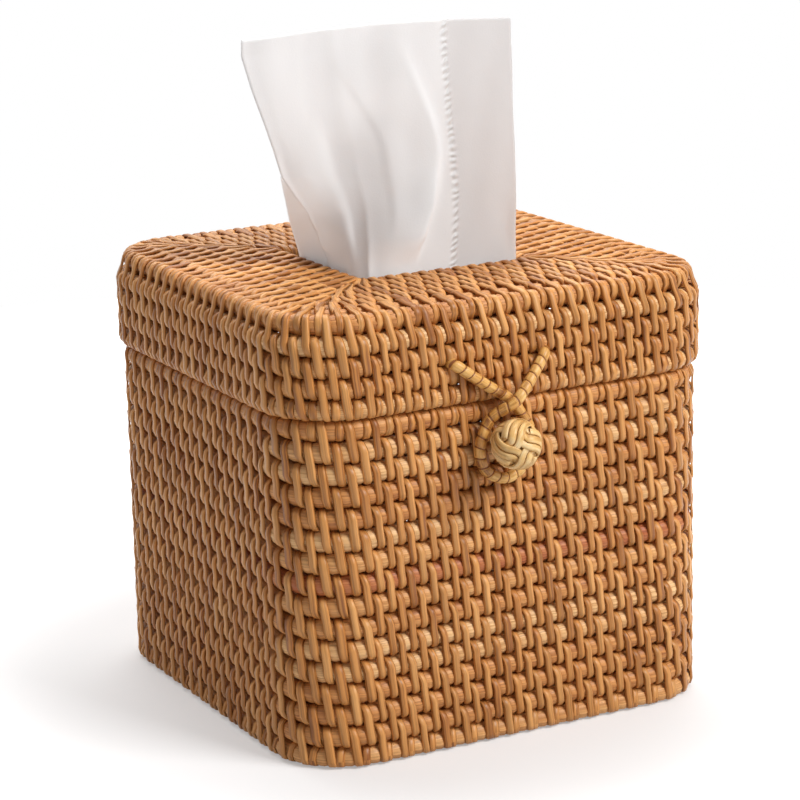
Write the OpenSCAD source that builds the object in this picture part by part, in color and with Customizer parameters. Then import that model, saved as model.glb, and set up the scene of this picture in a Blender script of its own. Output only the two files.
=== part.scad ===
// Square tissue box cover of stacked cane rods, with a hinged lid, a wrapped loop and a knot button.
// Millimetres. +Z is up, the knot faces -Y, and the origin is under the middle of the base.

/* [Case] */
// Width and depth of the case over its wall rods
case_w = 147; // [120:1:180]
// Number of rods up the wall of the case
case_rows = 16; // [10:1:18]
// Diameter of a case rod
case_rod_d = 6.3; // [5:0.1:8]
// Outside radius of the case's upright corners
case_corner_r = 23.5; // [16:0.5:30]
// Room that the binding cane takes between two rods
bind_gap = 0.5; // [0.4:0.05:0.8]
// Depth of the flat worn on the lowest rod, which the cover stands on
base_flat = 0.4; // [0.2:0.1:1]
// How far the floor rods hang clear of that surface
floor_clear = 0.2; // [0:0.1:1]

/* [Lid] */
// How far the lid stands out past the case on each side
lid_overhang = 1.5; // [0.5:0.1:3]
// Number of rods down the side of the lid, the edge rod included
lid_rows = 5; // [3:1:7]
// Diameter of a rod in the lid's side
lid_rod_d = 5.8; // [5:0.1:7]
// Gap between the case and the closed lid
seam_gap = 0.4; // [0.3:0.05:1]
// How far the edge rod lies in from the rods below it
edge_inset = 2.1; // [0:0.1:3]
// Number of rods laid flat in the lid's top, from its edge to the opening
top_rows = 6; // [3:1:8]
// Diameter of a rod in the lid's top
top_rod_d = 6; // [5:0.1:7]
// How far the top rods' centres lie above the edge rod's
top_rise = 0.5; // [0:0.1:1.5]

/* [Hinge] */
// Thickness of the cane lashed round the two rods at the back
lashing_t = 0.3; // [0.2:0.02:0.34]
// Clearance between a lashing and the rods inside it
lashing_clear = 0.08; // [0.05:0.01:0.1]
// Width of one lashing
lashing_w = 14; // [8:1:24]
// Straight rod left bare between a lashing and the bend of the corner
lashing_inset = 1; // [0.5:0.5:10]

/* [Closure] */
// Diameter of the knot button
knot_d = 16; // [12:0.5:24]
// Sideways place of the knot and its loop, from the middle of the front
closure_x = -7.5; // [-20:0.5:20]
// Depth of the middle of the knot below the case's rim
knot_drop = 11.2; // [8:0.2:20]
// Diameter of the cane stem that carries the knot
stem_d = 4; // [3:0.25:5]
// Diameter of the wrapped loop
loop_d = 3.5; // [2.5:0.1:4]
// Distance between the two ends of the loop
loop_spread = 31; // [26:0.5:40]
// Height from the loop's ends down to its lowest point
loop_drop = 37; // [34:0.5:44]
// Number of wraps shown round the loop
loop_wraps = 40; // [20:1:48]
// Depth of the groove between two wraps
wrap_groove = 0.3; // [0.1:0.05:0.5]
// Clearance between the closure's pieces
closure_clear = 0.35; // [0.3:0.05:0.6]

/* [Tissue] */
// Height of the tissue above the lid
tissue_rise = 75; // [50:1:100]
// Width of the tissue across its top edge
tissue_top_w = 92; // [70:1:110]
// Thickness of the tissue's solid
tissue_t = 0.8; // [0.6:0.1:1.2]
// Clearance between the tissue and the rods round the opening
tissue_clear = 0.6; // [0.4:0.1:1.5]
// Depth of the tissue's soft folds
fold_depth = 2.2; // [0:0.1:4]

/* [Hidden] */
case_rod_r = case_rod_d / 2;
lid_rod_r = lid_rod_d / 2;
top_rod_r = top_rod_d / 2;

// The smallest bend that a rod takes, as a share of its diameter
tight_bend_share = 0.6;

// The finest step that a rod's place and bend are set to
rod_step = 0.01;

// Case: wall rods are stacked a pitch apart, and floor rods lie a pitch apart inside the lowest one
case_pitch = case_rod_d + bind_gap;
case_half = case_w / 2 - case_rod_r;
case_bend_r = case_corner_r - case_rod_r;
case_h = case_rows * case_pitch - bind_gap - base_flat;
floor_z = case_rod_r + floor_clear;
floor_start_share = 0.9;
floor_rows = floor(case_half / case_pitch - floor_start_share);
floor_hole = case_half - floor_rows * case_pitch - case_rod_r;
start_rod_d = (2 * floor_hole - 3 * bind_gap) / 2;

// Lid: the side rods stand over the case, the edge rod leans in, and the top rods lie flat
lid_w = case_w + 2 * lid_overhang;
lid_pitch = lid_rod_d + bind_gap;
lid_half = lid_w / 2 - lid_rod_r;
lid_bend_r = case_corner_r + lid_overhang - lid_rod_r;
lid_base_z = case_h + seam_gap;
edge_z = lid_base_z + lid_rod_r + (lid_rows - 2) * lid_pitch + sqrt(pow(lid_pitch, 2) - pow(edge_inset, 2));
edge_half = lid_half - edge_inset;
top_z = edge_z + top_rise;
top_first = edge_half - sqrt(pow(lid_rod_r + top_rod_r + bind_gap, 2) - pow(top_rise, 2));
top_pitch = top_rod_d + bind_gap;
total_h = top_z + top_rod_r;
hole_half = top_first - (top_rows - 1) * top_pitch - top_rod_r;

// Closure: the knot stands off the case far enough for the loop to lie behind it
loop_behind_share = 0.75;
loop_rise_share = 0.658;
front_y = -case_w / 2;
lid_front_y = -lid_w / 2;
knot_z = case_h - knot_drop;
knot_y = front_y - closure_clear * 2 - loop_d * loop_behind_share - knot_d / 2;
anchor_z = knot_z + loop_drop * loop_rise_share;

// The loop's route from its left end to its right one: across in half spreads, down in drops,
// and out from the lid's face in loop diameters. It passes under itself first and over itself last.
loop_route_shares = [
    [-1.02, 0, 0.6], [-0.62, 0.115, 0.6], [-0.2, 0.235, 0.6], [0.17, 0.34, 0.6],
    [0.42, 0.47, 0.5], [0.62, 0.6, 0.33], [0.68, 0.74, 0.3], [0.54, 0.9, 0.3],
    [0.12, 1, 0.3], [-0.3, 0.93, 0.3], [-0.48, 0.78, 0.32], [-0.44, 0.62, 0.5],
    [-0.26, 0.46, 0.8], [0.12, 0.335, 1.85], [0.5, 0.2, 1.35], [0.78, 0.09, 0.8], [1.02, 0, 0.6]
];
loop_sides = 8;
loop_rings = 2 * loop_wraps;

// The tissue's foot follows two sides of the opening, and its head is nearly straight
tissue_reach = hole_half - tissue_clear - tissue_t / 2;
tissue_tail_z = top_z - top_rod_r - bind_gap;
tissue_columns = 28;
tissue_levels = 12;
foot_share = (total_h - tissue_tail_z) / (total_h + tissue_rise - tissue_tail_z);
foot_left_share = 0.62;
foot_corner_share = 0.42;
head_left_share = 0.62;
head_back_share = 0.3;
head_front_share = 0.5;

function two_digits(i) = str(i < 10 ? "0" : "", i);
function case_wall_name(i) = str("case_wall_row_", two_digits(i));
function case_floor_name(i) = str("case_floor_row_", two_digits(i));
function lid_wall_name(i) = str("lid_wall_row_", two_digits(i));
function lid_top_name(i) = str("lid_top_row_", two_digits(i));

function in_steps(size) = round(size / rod_step) * rod_step;

// One closed rod bent round a square, its joint pared to a scarf, lying level at height zero
module rod_ring(middle_half, middle_bend_r, rod_d) {
    half = in_steps(middle_half);
    bend_r = in_steps(middle_bend_r);
    run = half - bend_r;
    for (side = [0:3])
        rotate([0, 0, 90 * side]) {
            translate([-run, -half, 0])
                rotate([0, 90, 0])
                    cylinder(h = 2 * run, d = rod_d, $fn = 32);
            translate([run, -run, 0])
                rotate([0, 0, -90])
                    rotate_extrude(angle = 90, $fn = 64)
                        translate([bend_r, 0])
                            circle(d = rod_d, $fn = 32);
        }
}

// Wall rods are counted from the rim down, so the last one is the rod that the cover stands on
module case_wall_row(i) {
    tone = i == 8 ? "sienna" : "peru";
    color(tone)
        difference() {
            translate([0, 0, case_rod_r - base_flat + (case_rows - i) * case_pitch])
                rod_ring(case_half, case_bend_r, case_rod_d);
            if (i == case_rows)
                translate([-case_w, -case_w, -case_rod_d])
                    cube([2 * case_w, 2 * case_w, case_rod_d]);
        }
}

// Floor rods are counted from the middle outwards, as the floor is worked
module case_floor_row(i) {
    inset = (floor_rows + 1 - i) * case_pitch;
    bend_r = max(case_bend_r - inset, case_rod_d * tight_bend_share);
    color("tan")
        translate([0, 0, floor_z])
            rod_ring(case_half - inset, bend_r, case_rod_d);
}

// The floor starts from one short rod doubled back on itself
module case_floor_start() {
    leg_y = (start_rod_d + bind_gap) / 2;
    leg_from = -floor_hole + bind_gap;
    leg_to = floor_hole - bind_gap - leg_y - start_rod_d / 2;
    color("tan")
        translate([0, 0, floor_z]) {
            for (side = [-1, 1])
                translate([leg_from, side * leg_y, 0])
                    rotate([0, 90, 0])
                        cylinder(h = leg_to - leg_from, d = start_rod_d, $fn = 32);
            translate([leg_to, 0, 0])
                rotate([0, 0, -90])
                    rotate_extrude(angle = 180, $fn = 64)
                        translate([leg_y, 0])
                            circle(d = start_rod_d, $fn = 32);
        }
}

// Side rods of the lid are counted from its edge down: the first is the edge rod, which leans in
module lid_wall_row(i) {
    is_edge = i == 1;
    z = is_edge ? edge_z : lid_base_z + lid_rod_r + (lid_rows - i) * lid_pitch;
    inset = is_edge ? edge_inset : 0;
    color("peru")
        translate([0, 0, z])
            rod_ring(lid_half - inset, lid_bend_r - inset, lid_rod_d);
}

// Top rods of the lid are counted from its edge to the opening
module lid_top_row(i) {
    half = top_first - (i - 1) * top_pitch;
    bend_r = max(lid_bend_r - (lid_half - half), top_rod_d * tight_bend_share);
    color("burlywood")
        translate([0, 0, top_z])
            rod_ring(half, bend_r, top_rod_d);
}

// A belt of cane round the lid's lowest rod and the case's rim rod, at the back
module hinge_lashing(side) {
    lid_rod_at = [lid_half, lid_base_z + lid_rod_r];
    rim_rod_at = [case_half, case_h - case_rod_r];
    straight = min(lid_half - lid_bend_r, case_half - case_bend_r);
    middle = side * (straight - lashing_inset - lashing_w / 2);
    color("goldenrod")
        translate([middle - lashing_w / 2, 0, 0])
            rotate([90, 0, 90])
                linear_extrude(lashing_w)
                    difference() {
                        lashing_outline(lid_rod_at, rim_rod_at, lashing_clear + lashing_t);
                        lashing_outline(lid_rod_at, rim_rod_at, lashing_clear);
                    }
}

module lashing_outline(lid_rod_at, rim_rod_at, grow) {
    hull() {
        translate(lid_rod_at)
            circle(r = lid_rod_r + grow, $fn = 32);
        translate(rim_rod_at)
            circle(r = case_rod_r + grow, $fn = 32);
    }
}

// A ball-shaped knot and the stem of the same cane that passes back to the wall
module knot_button() {
    stem_len = front_y - closure_clear - knot_y;
    color("wheat")
        translate([closure_x, knot_y, knot_z]) {
            sphere(d = knot_d, $fn = 48);
            rotate([-90, 0, 0])
                cylinder(h = stem_len, d = stem_d, $fn = 32);
        }
}

function loop_point(share) = [
    closure_x + share[0] * loop_spread / 2,
    lid_front_y - share[2] * loop_d,
    anchor_z - share[1] * loop_drop
];

// A point on the smooth curve through the route's points, t counting route points
function loop_curve(t) =
    let (
        last = len(loop_route_shares) - 1,
        i = min(floor(t), last - 1),
        f = t - i,
        a = loop_point(loop_route_shares[max(i - 1, 0)]),
        b = loop_point(loop_route_shares[i]),
        c = loop_point(loop_route_shares[i + 1]),
        d = loop_point(loop_route_shares[min(i + 2, last)])
    )
    (2 * b + (c - a) * f + (2 * a - 5 * b + 4 * c - d) * f * f
        + (3 * b - a - 3 * c + d) * f * f * f) / 2;

loop_centres = [
    for (k = [0:loop_rings])
        loop_curve(k / loop_rings * (len(loop_route_shares) - 1))
];

function unit(v) = v / norm(v);

// A ring of the loop's tube, full on a wrap and drawn in at the groove between two wraps
function loop_ring(k) =
    let (
        ahead = loop_centres[min(k + 1, loop_rings)],
        behind = loop_centres[max(k - 1, 0)],
        along = unit(ahead - behind),
        side = unit(cross(along, [0, 1, 0])),
        up = cross(side, along),
        r = loop_d / 2 - (k % 2 == 1 ? wrap_groove : 0)
    )
    [for (s = [0:loop_sides - 1])
        loop_centres[k] + r * (cos(360 * s / loop_sides) * side + sin(360 * s / loop_sides) * up)];

// The narrowest place between two stretches of the loop, past the rings that follow each other
far_rings = ceil(loop_rings / 8);
loop_gap = min([
    for (i = [0:loop_rings - far_rings], j = [i + far_rings:loop_rings])
        norm(loop_centres[i] - loop_centres[j]) - loop_d
]);
echo(least_gap_of_the_loop_to_itself = loop_gap);

module closure_loop() {
    points = [for (k = [0:loop_rings]) each loop_ring(k)];
    n = loop_sides;
    walls = [
        for (k = [0:loop_rings - 1], s = [0:n - 1])
            let (a = k * n + s, b = k * n + (s + 1) % n)
            each [[a, a + n, b], [b, a + n, b + n]]
    ];
    first_cap = [for (s = [1:n - 2]) [0, s, s + 1]];
    last_cap = [for (s = [1:n - 2]) [loop_rings * n, loop_rings * n + s + 1, loop_rings * n + s]];
    color("goldenrod")
        polyhedron(points = points, faces = concat(walls, first_cap, last_cap));
}

function mix(a, b, s) = a * (1 - s) + b * s;

// The foot runs along the opening's left side to its near corner and on along the front
function tissue_foot(u) =
    u < foot_corner_share
        ? [-tissue_reach, mix(foot_left_share, -1, u / foot_corner_share) * tissue_reach]
        : [mix(-1, 1, (u - foot_corner_share) / (1 - foot_corner_share)) * tissue_reach, -tissue_reach];

// The head runs nearly straight from the back left to the front right, with soft folds
function tissue_head(u) = [
    (u - head_left_share) * tissue_top_w,
    mix(-head_back_share, -head_front_share, u) * tissue_reach + fold_depth * sin(540 * u)
];

function tissue_middle(u, v) =
    let (
        s = max(0, (v - foot_share) / (1 - foot_share)),
        plan = mix(tissue_foot(u), tissue_head(u), s)
    )
    [plan[0], plan[1], mix(tissue_tail_z, total_h + tissue_rise, v)];

// Half the sheet's thickness, square to it as seen from above
function tissue_offset(u, v) =
    let (
        step = 0.5 / tissue_columns,
        a = tissue_middle(max(u - step, 0), v),
        b = tissue_middle(min(u + step, 1), v),
        along = unit([b[0] - a[0], b[1] - a[1]])
    )
    [-along[1], along[0], 0] * tissue_t / 2;

module tissue_sheet() {
    n = tissue_columns + 1;
    one_side = n * (tissue_levels + 1);
    points = [
        for (side = [-1, 1], j = [0:tissue_levels], i = [0:tissue_columns])
            let (u = i / tissue_columns, v = j / tissue_levels)
            tissue_middle(u, v) + side * tissue_offset(u, v)
    ];
    faces = [
        for (j = [0:tissue_levels - 1], i = [0:tissue_columns - 1])
            let (a = j * n + i, b = a + 1, c = a + n, d = c + 1)
            each [
                [a, c, b], [b, c, d],
                [one_side + a, one_side + b, one_side + c], [one_side + b, one_side + d, one_side + c]
            ]
    ];
    foot_and_head = [
        for (i = [0:tissue_columns - 1])
            let (a = i, b = i + 1, c = tissue_levels * n + i, d = c + 1)
            each [
                [a, b, one_side + a], [b, one_side + b, one_side + a],
                [c, one_side + c, d], [d, one_side + c, one_side + d]
            ]
    ];
    both_ends = [
        for (j = [0:tissue_levels - 1])
            let (a = j * n, b = a + n, c = a + tissue_columns, d = c + n)
            each [
                [a, one_side + a, b], [b, one_side + a, one_side + b],
                [c, d, one_side + c], [d, one_side + d, one_side + c]
            ]
    ];
    color("white")
        polyhedron(points = points, faces = concat(faces, foot_and_head, both_ends));
}

for (i = [1:case_rows])
    case_wall_row(i);
for (i = [1:floor_rows])
    case_floor_row(i);
case_floor_start();
for (i = [1:lid_rows])
    lid_wall_row(i);
for (i = [1:top_rows])
    lid_top_row(i);
hinge_lashing(-1);  // hinge_lashing_left
hinge_lashing(1);  // hinge_lashing_right
knot_button();
closure_loop();
tissue_sheet();
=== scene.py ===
import bisect
import math
import random
from functools import partial

import bmesh
import bpy
from mathutils import Matrix, Vector


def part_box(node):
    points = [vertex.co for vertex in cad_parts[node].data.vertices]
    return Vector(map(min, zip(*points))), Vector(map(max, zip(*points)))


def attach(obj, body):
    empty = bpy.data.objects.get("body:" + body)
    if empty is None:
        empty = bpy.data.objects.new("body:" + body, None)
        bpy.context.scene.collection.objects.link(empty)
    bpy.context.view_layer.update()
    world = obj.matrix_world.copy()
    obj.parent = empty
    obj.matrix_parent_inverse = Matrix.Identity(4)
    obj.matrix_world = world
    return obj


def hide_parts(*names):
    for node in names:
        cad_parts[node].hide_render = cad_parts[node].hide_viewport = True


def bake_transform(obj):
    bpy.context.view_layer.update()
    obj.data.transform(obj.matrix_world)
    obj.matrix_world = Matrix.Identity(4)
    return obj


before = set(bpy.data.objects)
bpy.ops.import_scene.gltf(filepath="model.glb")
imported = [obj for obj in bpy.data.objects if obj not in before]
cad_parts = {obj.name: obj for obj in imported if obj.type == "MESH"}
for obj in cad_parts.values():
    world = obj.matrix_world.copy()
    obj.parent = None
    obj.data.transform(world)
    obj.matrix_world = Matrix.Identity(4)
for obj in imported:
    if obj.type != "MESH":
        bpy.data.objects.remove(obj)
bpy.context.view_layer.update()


# Camera: it stands to the left of the front and a little above, as the photograph's did.
# A long lens keeps the uprights nearly parallel.
CAMERA_AZIMUTH = math.radians(-27.83)
CAMERA_ELEVATION = math.radians(14.18)
CAMERA_ROLL = math.radians(-1.28)
CAMERA_DISTANCE = 0.901
CAMERA_SLIDE = Vector((-0.0016, 0.0207))
CAMERA_LENS_MM = 124.26
CAMERA_SENSOR_MM = 36
CAMERA_NEAREST = 0.01
AIM_HEIGHT = 0.0698


def stand_camera():
    cos_e = math.cos(CAMERA_ELEVATION)
    back = Vector((math.sin(CAMERA_AZIMUTH) * cos_e, -math.cos(CAMERA_AZIMUTH) * cos_e,
                   math.sin(CAMERA_ELEVATION)))
    level = Vector((math.cos(CAMERA_AZIMUTH), math.sin(CAMERA_AZIMUTH), 0))
    upright = back.cross(level)
    right = math.cos(CAMERA_ROLL) * level + math.sin(CAMERA_ROLL) * upright
    up = math.cos(CAMERA_ROLL) * upright - math.sin(CAMERA_ROLL) * level
    place = Vector((0, 0, AIM_HEIGHT)) + back * CAMERA_DISTANCE
    place += right * CAMERA_SLIDE.x + up * CAMERA_SLIDE.y
    data = bpy.data.cameras.new("camera")
    data.lens = CAMERA_LENS_MM
    data.sensor_width = CAMERA_SENSOR_MM
    data.clip_start = CAMERA_NEAREST
    camera = bpy.data.objects.new("camera", data)
    bpy.context.scene.collection.objects.link(camera)
    camera.matrix_world = Matrix((
        (right.x, up.x, back.x, place.x),
        (right.y, up.y, back.y, place.y),
        (right.z, up.z, back.z, place.z),
        (0, 0, 0, 1),
    ))
    bpy.context.scene.camera = camera


stand_camera()


# Floor, backdrop and light: a plain white studio. The floor and the world show white to the camera,
# the lamps stay at a plain level, and the floor keeps the cover's soft shadow close round its foot.
# Farther out the floor's glow to the camera rises: painted light that paints the far shadow out.
WHITE = (1, 1, 1, 1)
FLOOR_DROP = 0.0001
FLOOR_RADIUS = 0.62
FLOOR_EDGES = 64
FLOOR_WHITE = (0.62, 0.62, 0.62, 1)
# Painted light: between these distances from the middle the floor's glow to the camera rises from near to
# far, painting out the cast shadow farther out
FLOOR_GLOW_NEAR = 0.33
FLOOR_GLOW_FAR = 1.0
SHADOW_FULL_WITHIN = 0.11
SHADOW_GONE_BY = 0.23
WORLD_LIGHT = 0.25
WORLD_TINT = (1.0, 0.94, 0.95, 1)
KEY_PLACE = (0.47, -0.85, 0.92)
KEY_WATTS = 14.0
KEY_SIZE = 0.55
TOP_PLACE = (0.15, 0.55, 1.20)
TOP_WATTS = 16.5
TOP_SIZE = 1.10


def math_node(nodes, links, operation, *values):
    """A Math node over plain numbers and other nodes' outputs."""
    node = nodes.new("ShaderNodeMath")
    node.operation = operation
    for socket, value in zip(node.inputs, values):
        if isinstance(value, float):
            socket.default_value = value
        else:
            links.new(value, socket)
    return node.outputs[0]


def seen_directly(nodes, links):
    """One for a ray from the camera or a glossy or clear surface, zero for a ray that lights."""
    maths = partial(math_node, nodes, links)
    path = nodes.new("ShaderNodeLightPath")
    either = maths("MAXIMUM", path.outputs["Is Camera Ray"], path.outputs["Is Glossy Ray"])
    return maths("MAXIMUM", either, path.outputs["Is Transmission Ray"])


def studio_floor(height):
    mesh = bpy.data.meshes.new("floor")
    bm = bmesh.new()
    bmesh.ops.create_circle(bm, cap_ends=True, segments=FLOOR_EDGES, radius=FLOOR_RADIUS)
    bmesh.ops.translate(bm, vec=(0, 0, height), verts=bm.verts)
    bm.to_mesh(mesh)
    bm.free()
    floor = bpy.data.objects.new("floor", mesh)
    bpy.context.scene.collection.objects.link(floor)
    material = bpy.data.materials.new("studio_white")
    material.use_nodes = True
    nodes, links = material.node_tree.nodes, material.node_tree.links
    nodes.clear()
    matt = nodes.new("ShaderNodeBsdfDiffuse")
    matt.inputs["Color"].default_value = FLOOR_WHITE
    glow = nodes.new("ShaderNodeEmission")
    glow.inputs["Color"].default_value = WHITE
    place = nodes.new("ShaderNodeTexCoord")
    far = nodes.new("ShaderNodeVectorMath")
    far.operation = "LENGTH"
    links.new(place.outputs["Object"], far.inputs[0])
    # Painted light: the glow rises with distance from the cover and paints the far cast shadow out
    brighter = nodes.new("ShaderNodeMapRange")
    brighter.interpolation_type = "SMOOTHSTEP"
    brighter.inputs["From Min"].default_value = SHADOW_FULL_WITHIN
    brighter.inputs["From Max"].default_value = SHADOW_GONE_BY
    brighter.inputs["To Min"].default_value = FLOOR_GLOW_NEAR
    brighter.inputs["To Max"].default_value = FLOOR_GLOW_FAR
    links.new(far.outputs["Value"], brighter.inputs["Value"])
    strength = math_node(nodes, links, "MULTIPLY", seen_directly(nodes, links), brighter.outputs[0])
    links.new(strength, glow.inputs["Strength"])
    both = nodes.new("ShaderNodeAddShader")
    links.new(matt.outputs[0], both.inputs[0])
    links.new(glow.outputs[0], both.inputs[1])
    out = nodes.new("ShaderNodeOutputMaterial")
    links.new(both.outputs[0], out.inputs["Surface"])
    mesh.materials.append(material)


def studio_world():
    world = bpy.data.worlds.new("studio")
    bpy.context.scene.world = world
    world.use_nodes = True
    nodes, links = world.node_tree.nodes, world.node_tree.links
    nodes.clear()
    light = nodes.new("ShaderNodeBackground")
    light.inputs["Color"].default_value = WORLD_TINT
    light.inputs["Strength"].default_value = WORLD_LIGHT
    white = nodes.new("ShaderNodeBackground")
    white.inputs["Color"].default_value = WHITE
    white.inputs["Strength"].default_value = 1.0
    choose = nodes.new("ShaderNodeMixShader")
    links.new(seen_directly(nodes, links), choose.inputs[0])
    links.new(light.outputs[0], choose.inputs[1])
    links.new(white.outputs[0], choose.inputs[2])
    out = nodes.new("ShaderNodeOutputWorld")
    links.new(choose.outputs[0], out.inputs["Surface"])


def soft_lamp(name, place, watts, size):
    data = bpy.data.lights.new(name, "AREA")
    data.shape = "SQUARE"
    data.energy = watts
    data.size = size
    lamp = bpy.data.objects.new(name, data)
    bpy.context.scene.collection.objects.link(lamp)
    lamp.location = place
    towards = Vector((0, 0, AIM_HEIGHT)) - Vector(place)
    lamp.rotation_euler = towards.to_track_quat("-Z", "Y").to_euler()


studio_floor(-FLOOR_DROP)
studio_world()
soft_lamp("key", KEY_PLACE, KEY_WATTS, KEY_SIZE)
soft_lamp("top", TOP_PLACE, TOP_WATTS, TOP_SIZE)
bpy.context.scene.view_settings.view_transform = "Standard"


# Core rods: round rattan core about 6 mm thick, steamed and bent round a square, its two ends
# pared to a scarf at the back. It shows as pale swellings between the strips that bind it.
CASE_WALL_ROWS = 16
CASE_FLOOR_ROWS = 9
LID_WALL_ROWS = 5
LID_TOP_ROWS = 6
CASE_CORNER = 0.0235
LID_CORNER = 0.0250
TIGHT_BEND_SHARE = 0.6
ROD_SIDES = 10
ROD_FEWEST_STEPS = 96
ROD_STEPS_A_STITCH = 6
ROD_PINCH = 0.00022
ROD_SWELL = 0.00045
ROD_SWELL_POWER = 1.5
ROD_FIBRES_A_METRE = 55
ROD_SEAM = 1e-6
# The underside is pressed flat below this height, to this share of its depth
PRESSED_BELOW = 0.0008
PRESSED_SHARE = 0.35
# Cane's finish: how far each piece's grain is shifted, the grain's scales along and across, where
# the colours lie on the mixed tone, where the fibres darken it, its sheen and its relief
TONE_JUMP = 61.0
STREAK_ALONG = 0.35
PATCH_ALONG = 1.1
PATCH_ACROSS = 1.3
GRAIN_ROUGHNESS = 0.6
DARK_AT = 0.40
MIDDLE_AT = 0.58
LIGHT_AT = 0.80
FIBRE_DARK_FROM = 0.36
FIBRE_DARK_TO = 0.58
CANE_SHEEN = 0.38
ROUGHNESS_SPREAD = 0.22
FIBRE_RELIEF = 0.0002


def rod_of(node, wall=None, corner=None, worn_flat=False):
    """A rod's half width, bend, height and radius, all at its middle line, from the frame."""
    low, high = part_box(node)
    thick = wall["r"] if worn_flat else (high.z - low.z) / 2
    half = high.x - thick
    if wall is None:
        bend = corner - thick
    else:
        bend = max(wall["bend"] - (wall["half"] - half), 2 * thick * TIGHT_BEND_SHARE)
    return {"half": half, "bend": bend, "z": high.z - thick, "r": thick}


def length_round(rod):
    return 8 * (rod["half"] - rod["bend"]) + 2 * math.pi * rod["bend"]


def place_on(rod, along):
    """The point this far round a rod's middle line from the middle of the back, and the way out."""
    run = rod["half"] - rod["bend"]
    quarter = 2 * run + rod["bend"] * math.pi / 2
    side, far = divmod((along + run) % (4 * quarter), quarter)
    out = Vector(((0, -1, 0, 1)[int(side) % 4], (1, 0, -1, 0)[int(side) % 4]))
    ahead = Vector((-out.y, out.x))
    if far <= 2 * run:
        return out * rod["half"] + ahead * (far - run), out
    turned = (far - 2 * run) / rod["bend"]
    way = out * math.cos(turned) + ahead * math.sin(turned)
    return (out + ahead) * run + way * rod["bend"], way


def beside(rod, point):
    """The place on a rod that lies nearest to a point on its neighbour."""
    run = rod["half"] - rod["bend"]
    core = Vector((min(max(point.x, -run), run), min(max(point.y, -run), run)))
    return core + (point - core).normalized() * rod["bend"]


def fibre_colours(name, dark, middle, light, fibres=46.0, roughness=0.46, bump=0.5,
                  fibre_depth=0.74, tone_share=0.22):
    """Cane: fine fibres along the piece, a tone of its own for each piece, and a soft sheen."""
    material = bpy.data.materials.new(name)
    material.use_nodes = True
    nodes, links = material.node_tree.nodes, material.node_tree.links
    maths = partial(math_node, nodes, links)
    shader = nodes["Principled BSDF"]
    uv = nodes.new("ShaderNodeUVMap")
    uv.uv_map = "along_and_across"
    tone = nodes.new("ShaderNodeAttribute")
    tone.attribute_name = "tone"
    shift = nodes.new("ShaderNodeCombineXYZ")
    jump = maths("MULTIPLY", tone.outputs["Fac"], TONE_JUMP)
    links.new(jump, shift.inputs["X"])
    links.new(jump, shift.inputs["Z"])
    moved = nodes.new("ShaderNodeVectorMath")
    moved.operation = "ADD"
    links.new(uv.outputs[0], moved.inputs[0])
    links.new(shift.outputs[0], moved.inputs[1])

    def noise(scale_along, scale_across, detail):
        stretch = nodes.new("ShaderNodeMapping")
        stretch.inputs["Scale"].default_value = (scale_along, scale_across, 1)
        links.new(moved.outputs[0], stretch.inputs["Vector"])
        texture = nodes.new("ShaderNodeTexNoise")
        texture.inputs["Scale"].default_value = 1.0
        texture.inputs["Detail"].default_value = detail
        texture.inputs["Roughness"].default_value = GRAIN_ROUGHNESS
        links.new(stretch.outputs[0], texture.inputs["Vector"])
        return texture.outputs["Fac"]

    streaks = noise(STREAK_ALONG, fibres, 2.0)
    patches = noise(PATCH_ALONG, PATCH_ACROSS, 3.0)
    mixed = maths("ADD", maths("MULTIPLY", streaks, 0.5), maths("MULTIPLY", patches, 0.5))
    toned = maths("ADD", mixed, maths("MULTIPLY", tone.outputs["Fac"], tone_share))
    ramp = nodes.new("ShaderNodeValToRGB")
    ramp.color_ramp.elements[0].position = DARK_AT
    ramp.color_ramp.elements[0].color = (*dark, 1)
    ramp.color_ramp.elements[1].position = LIGHT_AT
    ramp.color_ramp.elements[1].color = (*light, 1)
    between = ramp.color_ramp.elements.new(MIDDLE_AT)
    between.color = (*middle, 1)
    links.new(toned, ramp.inputs[0])
    fibre_dark = nodes.new("ShaderNodeMapRange")
    fibre_dark.inputs["From Min"].default_value = FIBRE_DARK_FROM
    fibre_dark.inputs["From Max"].default_value = FIBRE_DARK_TO
    fibre_dark.inputs["To Min"].default_value = fibre_depth
    fibre_dark.inputs["To Max"].default_value = 1.0
    links.new(streaks, fibre_dark.inputs["Value"])
    lined = nodes.new("ShaderNodeMix")
    lined.data_type = "RGBA"
    lined.blend_type = "MULTIPLY"
    lined.inputs["Factor"].default_value = 1.0
    links.new(ramp.outputs[0], lined.inputs["A"])
    links.new(fibre_dark.outputs[0], lined.inputs["B"])
    links.new(lined.outputs["Result"], shader.inputs["Base Color"])
    rough = maths("ADD", maths("MULTIPLY", streaks, ROUGHNESS_SPREAD), roughness - ROUGHNESS_SPREAD / 2)
    links.new(rough, shader.inputs["Roughness"])
    shader.inputs["Specular IOR Level"].default_value = CANE_SHEEN
    raised = nodes.new("ShaderNodeBump")
    raised.inputs["Strength"].default_value = bump
    raised.inputs["Distance"].default_value = FIBRE_RELIEF
    links.new(streaks, raised.inputs["Height"])
    links.new(raised.outputs[0], shader.inputs["Normal"])
    return material


def finish_piece(bm, name, material, body, nodes=()):
    """Closes a bmesh into a named piece that rides on a body and stands for the CAD nodes named."""
    mesh = bpy.data.meshes.new(name)
    bmesh.ops.recalc_face_normals(bm, faces=bm.faces)
    bm.to_mesh(mesh)
    bm.free()
    mesh.polygons.foreach_set("use_smooth", [True] * len(mesh.polygons))
    mesh.materials.append(material)
    piece = bpy.data.objects.new(name, mesh)
    bpy.context.scene.collection.objects.link(piece)
    if body:
        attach(piece, body)
    if nodes:
        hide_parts(*nodes)
    return piece


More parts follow.
